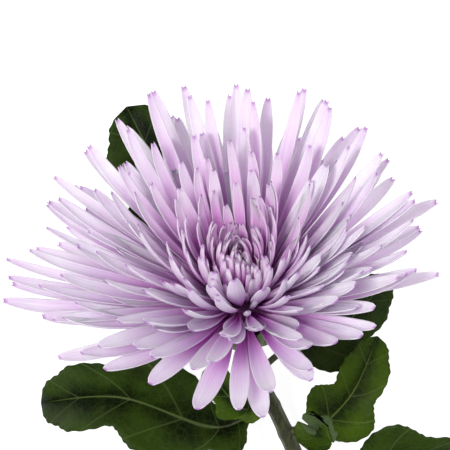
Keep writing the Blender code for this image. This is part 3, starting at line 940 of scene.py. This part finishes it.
def leaf_material(name, dark, light, vein_colour, roughness):
    material = new_material(name)
    tree = material.node_tree
    place = add(tree, "ShaderNodeUVMap", {"uv_map": LEAF_UV})
    split = add(tree, "ShaderNodeSeparateXYZ", inputs={0: place.outputs["UV"]})
    spot = add(tree, "ShaderNodeTexCoord").outputs["Object"]
    # The midrib and the side veins, which are thin lines that fade out on both sides.
    reach = add(tree, "ShaderNodeMath", {"operation": "ABSOLUTE"}, {0: split.outputs["Y"]})
    midrib = add(tree, "ShaderNodeMapRange", SOFT_RANGE, {
        "Value": reach.outputs[0], "From Min": 0.018, "From Max": 0.055, "To Min": 0.8,
        "To Max": 0.0})
    count = add(tree, "ShaderNodeMath", {"operation": "MULTIPLY"}, {
        0: split.outputs["X"], 1: float(VEIN_PAIRS)})
    nearest = add(tree, "ShaderNodeMath", {"operation": "PINGPONG"}, {0: count.outputs[0], 1: 0.5})
    side_vein = add(tree, "ShaderNodeMapRange", SOFT_RANGE, {
        "Value": nearest.outputs[0], "From Min": 0.008, "From Max": 0.04, "To Min": 0.42,
        "To Max": 0.0})
    # The net of small veins. A real net is nearer 1 mm and is drawn coarser so that it shows.
    net = add(tree, "ShaderNodeTexVoronoi", {"feature": "DISTANCE_TO_EDGE"}, {
        "Vector": spot, "Scale": per_metre(LEAF_NET_MM)})
    net_vein = add(tree, "ShaderNodeMapRange", SOFT_RANGE, {
        "Value": net.outputs["Distance"], "From Max": 0.10, "To Min": 0.13, "To Max": 0.0})
    large_veins = add(tree, "ShaderNodeMath", {"operation": "MAXIMUM"}, {
        0: side_vein.outputs["Result"], 1: midrib.outputs["Result"]})
    veins = add(tree, "ShaderNodeMath", {"operation": "MAXIMUM"}, {
        0: large_veins.outputs[0], 1: net_vein.outputs["Result"]})
    # Patches of dark and light green, with painted shade in the valley along the midrib, where the
    # folded blade is deepest, and painted light towards the raised edges.
    patches = add(tree, "ShaderNodeTexNoise", inputs={
        "Vector": spot, "Scale": per_metre(LEAF_PATCH_MM), "Detail": 4.0})
    painted_valley_shade = add(tree, "ShaderNodeMapRange", SOFT_RANGE, {
        "Value": reach.outputs[0], "From Max": 0.7, "To Min": -0.16, "To Max": 0.14})
    shade = add(tree, "ShaderNodeMath", inputs={
        0: patches.outputs["Fac"], 1: painted_valley_shade.outputs["Result"]})
    flesh = add(tree, "ShaderNodeValToRGB", inputs={"Fac": shade.outputs[0]}, stops=(
        (0.32, dark), (0.72, light)))
    colour = add(tree, "ShaderNodeMix", COLOUR_MIX, {
        "Factor": veins.outputs[0], 6: flesh.outputs["Color"], 7: linear(vein_colour)})
    # Veins are sunk into the face, and a fine grain breaks up the gloss.
    grain = add(tree, "ShaderNodeTexNoise", inputs={
        "Vector": spot, "Scale": per_metre(LEAF_GRAIN_MM), "Detail": 2.0})
    height = add(tree, "ShaderNodeMath", {"operation": "MULTIPLY_ADD"}, {
        0: veins.outputs[0], 1: -1.4, 2: grain.outputs["Fac"]})
    relief = add(tree, "ShaderNodeBump", inputs={
        "Height": height.outputs[0], "Strength": 0.55, "Distance": 0.4 * MM})
    shader = add(tree, "ShaderNodeBsdfPrincipled", inputs={
        "Base Color": colour.outputs[2], "Roughness": roughness, "Specular IOR Level": 0.09,
        "Subsurface Weight": 0.08, "Subsurface Radius": (0.0006, 0.0012, 0.0003),
        "Normal": relief.outputs["Normal"]})
    add(tree, "ShaderNodeOutputMaterial", inputs={"Surface": shader.outputs[0]})
    return material


leaf_upper = leaf_material("leaf_upper", "#0B1502", "#2A3E0C", "#4E6030", 0.40)
# Leaves 2 and 4 are given a lighter green than the others.
leaf_bright = leaf_material("leaf_upper_lighter", "#142402", "#3A5206", "#5E7034", 0.42)
leaf_under = leaf_material("leaf_underside", "#33432A", "#485A36", "#63734E", 0.65)
print("leaf materials:", leaf_upper.name, leaf_bright.name, leaf_under.name)

# %% [markdown]
# ## The blades
# A leaf's edge has small teeth on its lobes, and its face swells a little between the side veins.
# A plane cut by the outline would have no such relief, so each blade is a grid of rows from the
# midrib out to the edge. Solidify then gives it a wall, with the grey green on its lower face.

# %% The outline with its teeth
BRIGHT_LEAVES = (2, 4)
TEETH_PER_SPAN = 1.5
TOOTH_HEIGHT = 0.010
TOOTH_DEPTH = 0.004


def fine_outline():
    """The outline with its small teeth, as (foot on the midrib, along, across) rows."""
    rows = []
    anchors = [Vector((along, across, 0)) for along, across in LEAF_OUTLINE]
    steps = ROWS_PER_SPAN * (len(anchors) - 1)
    for k in range(steps + 1):
        point = smooth_path(anchors, k / steps)
        saw = 1 - abs(2 * ((k / ROWS_PER_SPAN * TEETH_PER_SPAN) % 1.0) - 1)
        tooth = TOOTH_HEIGHT * saw * smooth(point.y, 0.02, 0.08)
        across = point.y + tooth - TOOTH_DEPTH
        rows.append((max(0.0, point.x - VEIN_SLOPE * point.y), point.x, max(TOOTH_DEPTH, across)))
    return rows


print("a half outline of", len(fine_outline()), "points")

# %% [markdown]
# Each point of a blade is found from the nearest point of the midrib: out to its side by its share
# of the width, and up by the fold, the wave of the edge and the swelling between two veins. The
# point's place on the leaf is kept as its UV, so that the material knows where the veins are.

# %% Build a blade
MIDRIB_STEPS = 40


def build_blade(number, leaf):
    """A leaf's blade, with the path of its midrib and the point that its stalk starts from."""
    midrib, start = leaf_midrib(leaf)
    stations = [smooth_path(midrib, k / MIDRIB_STEPS) for k in range(MIDRIB_STEPS + 1)]
    length = sum((b - a).length for a, b in zip(stations, stations[1:])) * (1 - leaf["bare"])
    fold = math.radians(leaf["fold"])

    def blade_point(along, across, foot, share_out):
        share = leaf["bare"] + (1 - leaf["bare"]) * along
        point, _, side, up = leaf_frame(midrib, leaf, share)
        reach = abs(across) * length * leaf["breadth"]
        wave = EDGE_WAVE * math.sin(9.5 * along + 2 * (across > 0)) * min(1, abs(across) / 0.2)
        quilt = QUILT_HEIGHT * abs(math.sin(math.pi * VEIN_PAIRS * foot))
        quilt *= math.sin(math.pi * share_out) ** 0.7
        outwards = math.copysign(math.cos(fold), across) * side
        return point + reach * (outwards + math.sin(fold) * up) + (wave + quilt) * up

    builder = bmesh.new()
    blade = builder.loops.layers.uv.new(LEAF_UV)
    places = {}
    rows = fine_outline()

    def vertex_at(along, across, foot, share_out):
        vertex = builder.verts.new(blade_point(along, across, foot, abs(share_out)))
        places[vertex] = (foot, share_out)
        return vertex

    centre = [vertex_at(foot, 0.0, foot, 0.0) for foot, _, _ in rows]
    tip = vertex_at(1.0, 0.0, 1.0, 0.0)
    for hand in (-1, 1):
        columns = [centre]
        for column in range(1, BLADE_COLUMNS + 1):
            part = column / BLADE_COLUMNS
            columns.append([
                vertex_at(foot + (along - foot) * part, hand * part * across, foot, hand * part)
                for foot, along, across in rows])
        for inner, outer in zip(columns, columns[1:]):
            for k in range(len(rows) - 1):
                corners = (inner[k], outer[k], outer[k + 1], inner[k + 1])
                builder.faces.new(corners if hand > 0 else corners[::-1])
            last = (inner[-1], outer[-1], tip)
            builder.faces.new(last if hand > 0 else last[::-1])
    for face in builder.faces:
        for corner in face.loops:
            corner[blade].uv = places[corner.vert]
    name = f"leaf_{number}_fine"
    upper = leaf_bright if number in BRIGHT_LEAVES else leaf_upper
    mesh = mesh_from(builder, name, upper, leaf_under)
    mesh.shade_smooth()
    piece = new_object(name, mesh)
    wall = piece.modifiers.new("thickness", "SOLIDIFY")
    wall.thickness = LEAF_WALL
    wall.offset = 0
    wall.material_offset = 1
    graph = bpy.context.evaluated_depsgraph_get()
    walled = bpy.data.meshes.new_from_object(piece.evaluated_get(graph), depsgraph=graph)
    piece.modifiers.clear()
    piece.data = walled
    return piece, midrib, start


print("ready to build", len(LEAVES), "blades")

# %% [markdown]
# ## Stalks and other round pieces
# A leaf's stalk is a round, tapered stem that runs on under the blade as its midrib. A curve with a
# bevel would be quick, but it can't swell where it joins or sink into the blade. So it is a skin
# over rings of points, and the flower's stem and cup are made by the same function.

# %% Stalks and skins over rings
STALK_STEPS = 32
STALK_SIDES = 10
STALK_END = 0.97
LOWEST_SKIN = 0.05 * MM


def stalk_rings(leaf, midrib, start):
    """The leaf stalk from the stem, sunk into the blade's underside as its midrib."""
    rings = []
    for k in range(STALK_STEPS + 1):
        share = STALK_END * k / STALK_STEPS
        point, _, side, up = leaf_frame(midrib, leaf, share)
        radius = STALK_RADIUS * (1 - 0.75 * smooth(share, leaf["bare"], STALK_END))
        radius *= 1 + 0.5 * (1 - smooth(share, 0.0, 0.06))
        sunk = 0.5 * radius * smooth(share, 0.0, leaf["bare"])
        angles = [math.tau * n / STALK_SIDES for n in range(STALK_SIDES)]
        rings.append([
            point + radius * (math.cos(angle) * side + math.sin(angle) * up) - sunk * up
            for angle in angles])
    rings.insert(0, [corner + (start - midrib[0]) * 0.5 for corner in rings[0]])
    return rings


def loft(name, rings, material):
    """A closed skin over rings of points, capped at both ends."""
    builder = bmesh.new()
    layers = [
        [builder.verts.new((p.x, p.y, max(p.z, LOWEST_SKIN))) for p in ring] for ring in rings]
    for lower, upper in zip(layers, layers[1:]):
        for k in range(len(lower)):
            n = (k + 1) % len(lower)
            builder.faces.new((lower[k], lower[n], upper[n], upper[k]))
    builder.faces.new(layers[0][::-1])
    builder.faces.new(layers[-1])
    bmesh.ops.recalc_face_normals(builder, faces=builder.faces)
    mesh = mesh_from(builder, name, material)
    mesh.shade_smooth()
    return new_object(name, mesh)


print("a stalk has", STALK_STEPS + 2, "rings of", STALK_SIDES, "points")

# %% [markdown]
# ## Stem green
# The skin of the stem and of the bracts is streaked lengthwise by its fibres and covered by fine
# pale hairs. Hairs as strands would be far too many, so a soft sheen stands in for them. The
# streaks are noise that is drawn out along the stem, 17 mm long. Real fibres are about a third of a
# millimetre wide. These are 1.1 mm wide so that they show.

# %% Stem materials
STREAK_WIDTH_MM = 1.111
STREAK_LENGTH_MM = 16.67


def stem_material(name, dark, light):
    material = new_material(name)
    tree = material.node_tree
    wide, long = per_metre(STREAK_WIDTH_MM), per_metre(STREAK_LENGTH_MM)
    drawn_out = add(tree, "ShaderNodeMapping", inputs={
        "Vector": add(tree, "ShaderNodeTexCoord").outputs["Object"], "Scale": (wide, long, wide)})
    streaks = add(tree, "ShaderNodeTexNoise", inputs={
        "Vector": drawn_out.outputs[0], "Scale": 1.0, "Detail": 3.0})
    colour = add(tree, "ShaderNodeValToRGB", inputs={"Fac": streaks.outputs["Fac"]}, stops=(
        (0.3, dark), (0.7, light)))
    relief = add(tree, "ShaderNodeBump", inputs={
        "Height": streaks.outputs["Fac"], "Strength": 0.4, "Distance": 0.3 * MM})
    shader = add(tree, "ShaderNodeBsdfPrincipled", inputs={
        "Base Color": colour.outputs["Color"], "Roughness": 0.6, "Sheen Weight": 0.4,
        "Sheen Roughness": 0.35, "Sheen Tint": linear("#C9D3AF"),
        "Normal": relief.outputs["Normal"]})
    add(tree, "ShaderNodeOutputMaterial", inputs={"Surface": shader.outputs[0]})
    return material


stem_skin = stem_material("stem_skin", "#1B1E09", "#3E431C")
bract_skin = stem_material("bract_skin", "#2F4216", "#5F7339")
print("stem materials:", stem_skin.name, bract_skin.name)

# %% [markdown]
# ## Eight leaves
# The leaves differ only in their paths, folds and turns, so one loop lays them all. Each blade
# stands in for its solid, and its stalk rides with it.

# %% Lay the leaves
for number, leaf in enumerate(LEAVES, start=1):
    blade, midrib, start = build_blade(number, leaf)
    stalk = loft(f"leaf_{number}_stalk", stalk_rings(leaf, midrib, start), stem_skin)
    for piece in (blade, stalk):
        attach(piece, "root")
    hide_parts(f"leaf_{number}")

# %% [markdown]
# ## The stem
# The ribs could be separate strips, but they are only a ripple in the radius, which turns slowly on
# its way down as a real stem's does. Where the stem lies on the floor, its skin stays just above.

# %% The stem
STEM_NUDGE = 0.002
STEM_SKIN_DEPTH = 0.1 * MM

rings = []
for k in range(STEM_STATIONS):
    share = k / (STEM_STATIONS - 1)
    point = smooth_path(stem_path, share)
    after = smooth_path(stem_path, min(share + STEM_NUDGE, 1.0))
    before = smooth_path(stem_path, max(share - STEM_NUDGE, 0))
    ahead = (after - before).normalized()
    side = ahead.cross(Vector((0, 0, 1))).normalized()
    up = side.cross(ahead)
    ring = []
    for n in range(STEM_SIDES):
        angle = math.tau * n / STEM_SIDES
        rib = 1 + RIB_HEIGHT * math.cos(STEM_RIBS * angle + 2.0 * share)
        radius = stem_radius(share) * rib - STEM_SKIN_DEPTH
        ring.append(point + radius * (math.cos(angle) * side + math.sin(angle) * up))
    rings.append(ring)
stem = loft("stem_fine", rings, stem_skin)
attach(stem, "root")
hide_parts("stem")
print("stem of", len(stem.data.polygons), "faces")

# %% [markdown]
# ## The cup of bracts
# Behind the petals sits a shallow green cup of overlapping scales, the bracts. They could be
# modelled one by one, but a bract is a leafy scale of much the same build as a petal. So they are
# the petal tree again, with a wider, pointed outline and less roll, on three rows of roots.

# %% The cup
CUP_PROFILE = (
    (2.9, -16.6), (5.2, -15.4), (9.4, -12.0), (12.2, -7.8), (12.9, -5.2), (11.0, -4.6))
CUP_RINGS = 24
CUP_SIDES = 48

profile = [Vector((radius, height, 0)) for radius, height in CUP_PROFILE]
cup_rings = []
for k in range(CUP_RINGS):
    radius, height = smooth_path(profile, k / (CUP_RINGS - 1)).xy
    ring = []
    for n in range(CUP_SIDES):
        angle = math.tau * n / CUP_SIDES
        corner = Vector((radius * math.cos(angle), radius * math.sin(angle), height)) * MM
        ring.append(BLOOM_CENTRE + BLOOM_TURN @ corner)
    cup_rings.append(ring)
cup = loft("cup_fine", cup_rings, bract_skin)
print("cup of", len(cup.data.polygons), "faces")

# %% [markdown]
# Three rows of bracts grow from the cup's back, each row turned by half a step so that its bracts
# cover the gaps of the row below.

# %% The bracts
BRACT_WIDTH_ALONG = ((0.0, 0.7), (0.35, 1.0), (0.7, 0.8), (0.92, 0.4), (1.0, 0.08))
BRACT_CUPPING = ((0.0, 0.20), (0.5, 0.22), (1.0, 0.25))
BRACT_ROWS = ((8, 152.0, 11.0), (13, 144.0, 12.0), (16, 134.0, 11.5))
BRACT_WIDTH = 5.6 * MM
BRACT_WALL = 0.5 * MM
BRACT_ROLL = 2.0

bract_tree = floret_tree("bract_tree", BRACT_WIDTH_ALONG, BRACT_CUPPING)
bracts = []
for row, (count, root_polar, length) in enumerate(BRACT_ROWS):
    for number in range(count):
        azimuth = math.tau * (number + 0.5 * row) / count
        tangent, outward, sideways = petal_axes(azimuth, math.radians(root_polar))
        radius = CORE_RADIUS + (3.6 - 0.5 * row) * MM
        bracts.append({
            "root": BLOOM_CENTRE + radius * tangent, "direction": -outward, "outward": tangent,
            "sideways": sideways, "length": length * MM, "width": BRACT_WIDTH, "bend": -0.36,
            "hook": 0.02, "sweep": chance.uniform(-0.05, 0.05), "twist": 0.0, "roll": 1.0,
            "rank": 0.5, "chance": chance.random()})
scales = grow_florets("bracts", bracts, bract_tree, blank, {
    "Thickness": BRACT_WALL, "Full Roll": BRACT_ROLL, "Notch": 0.0, "Material": bract_skin})
for piece in (cup, scales):
    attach(piece, "root")
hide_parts("cup")
bpy.data.objects.remove(blank, do_unlink=True)
print(len(bracts), "bracts")
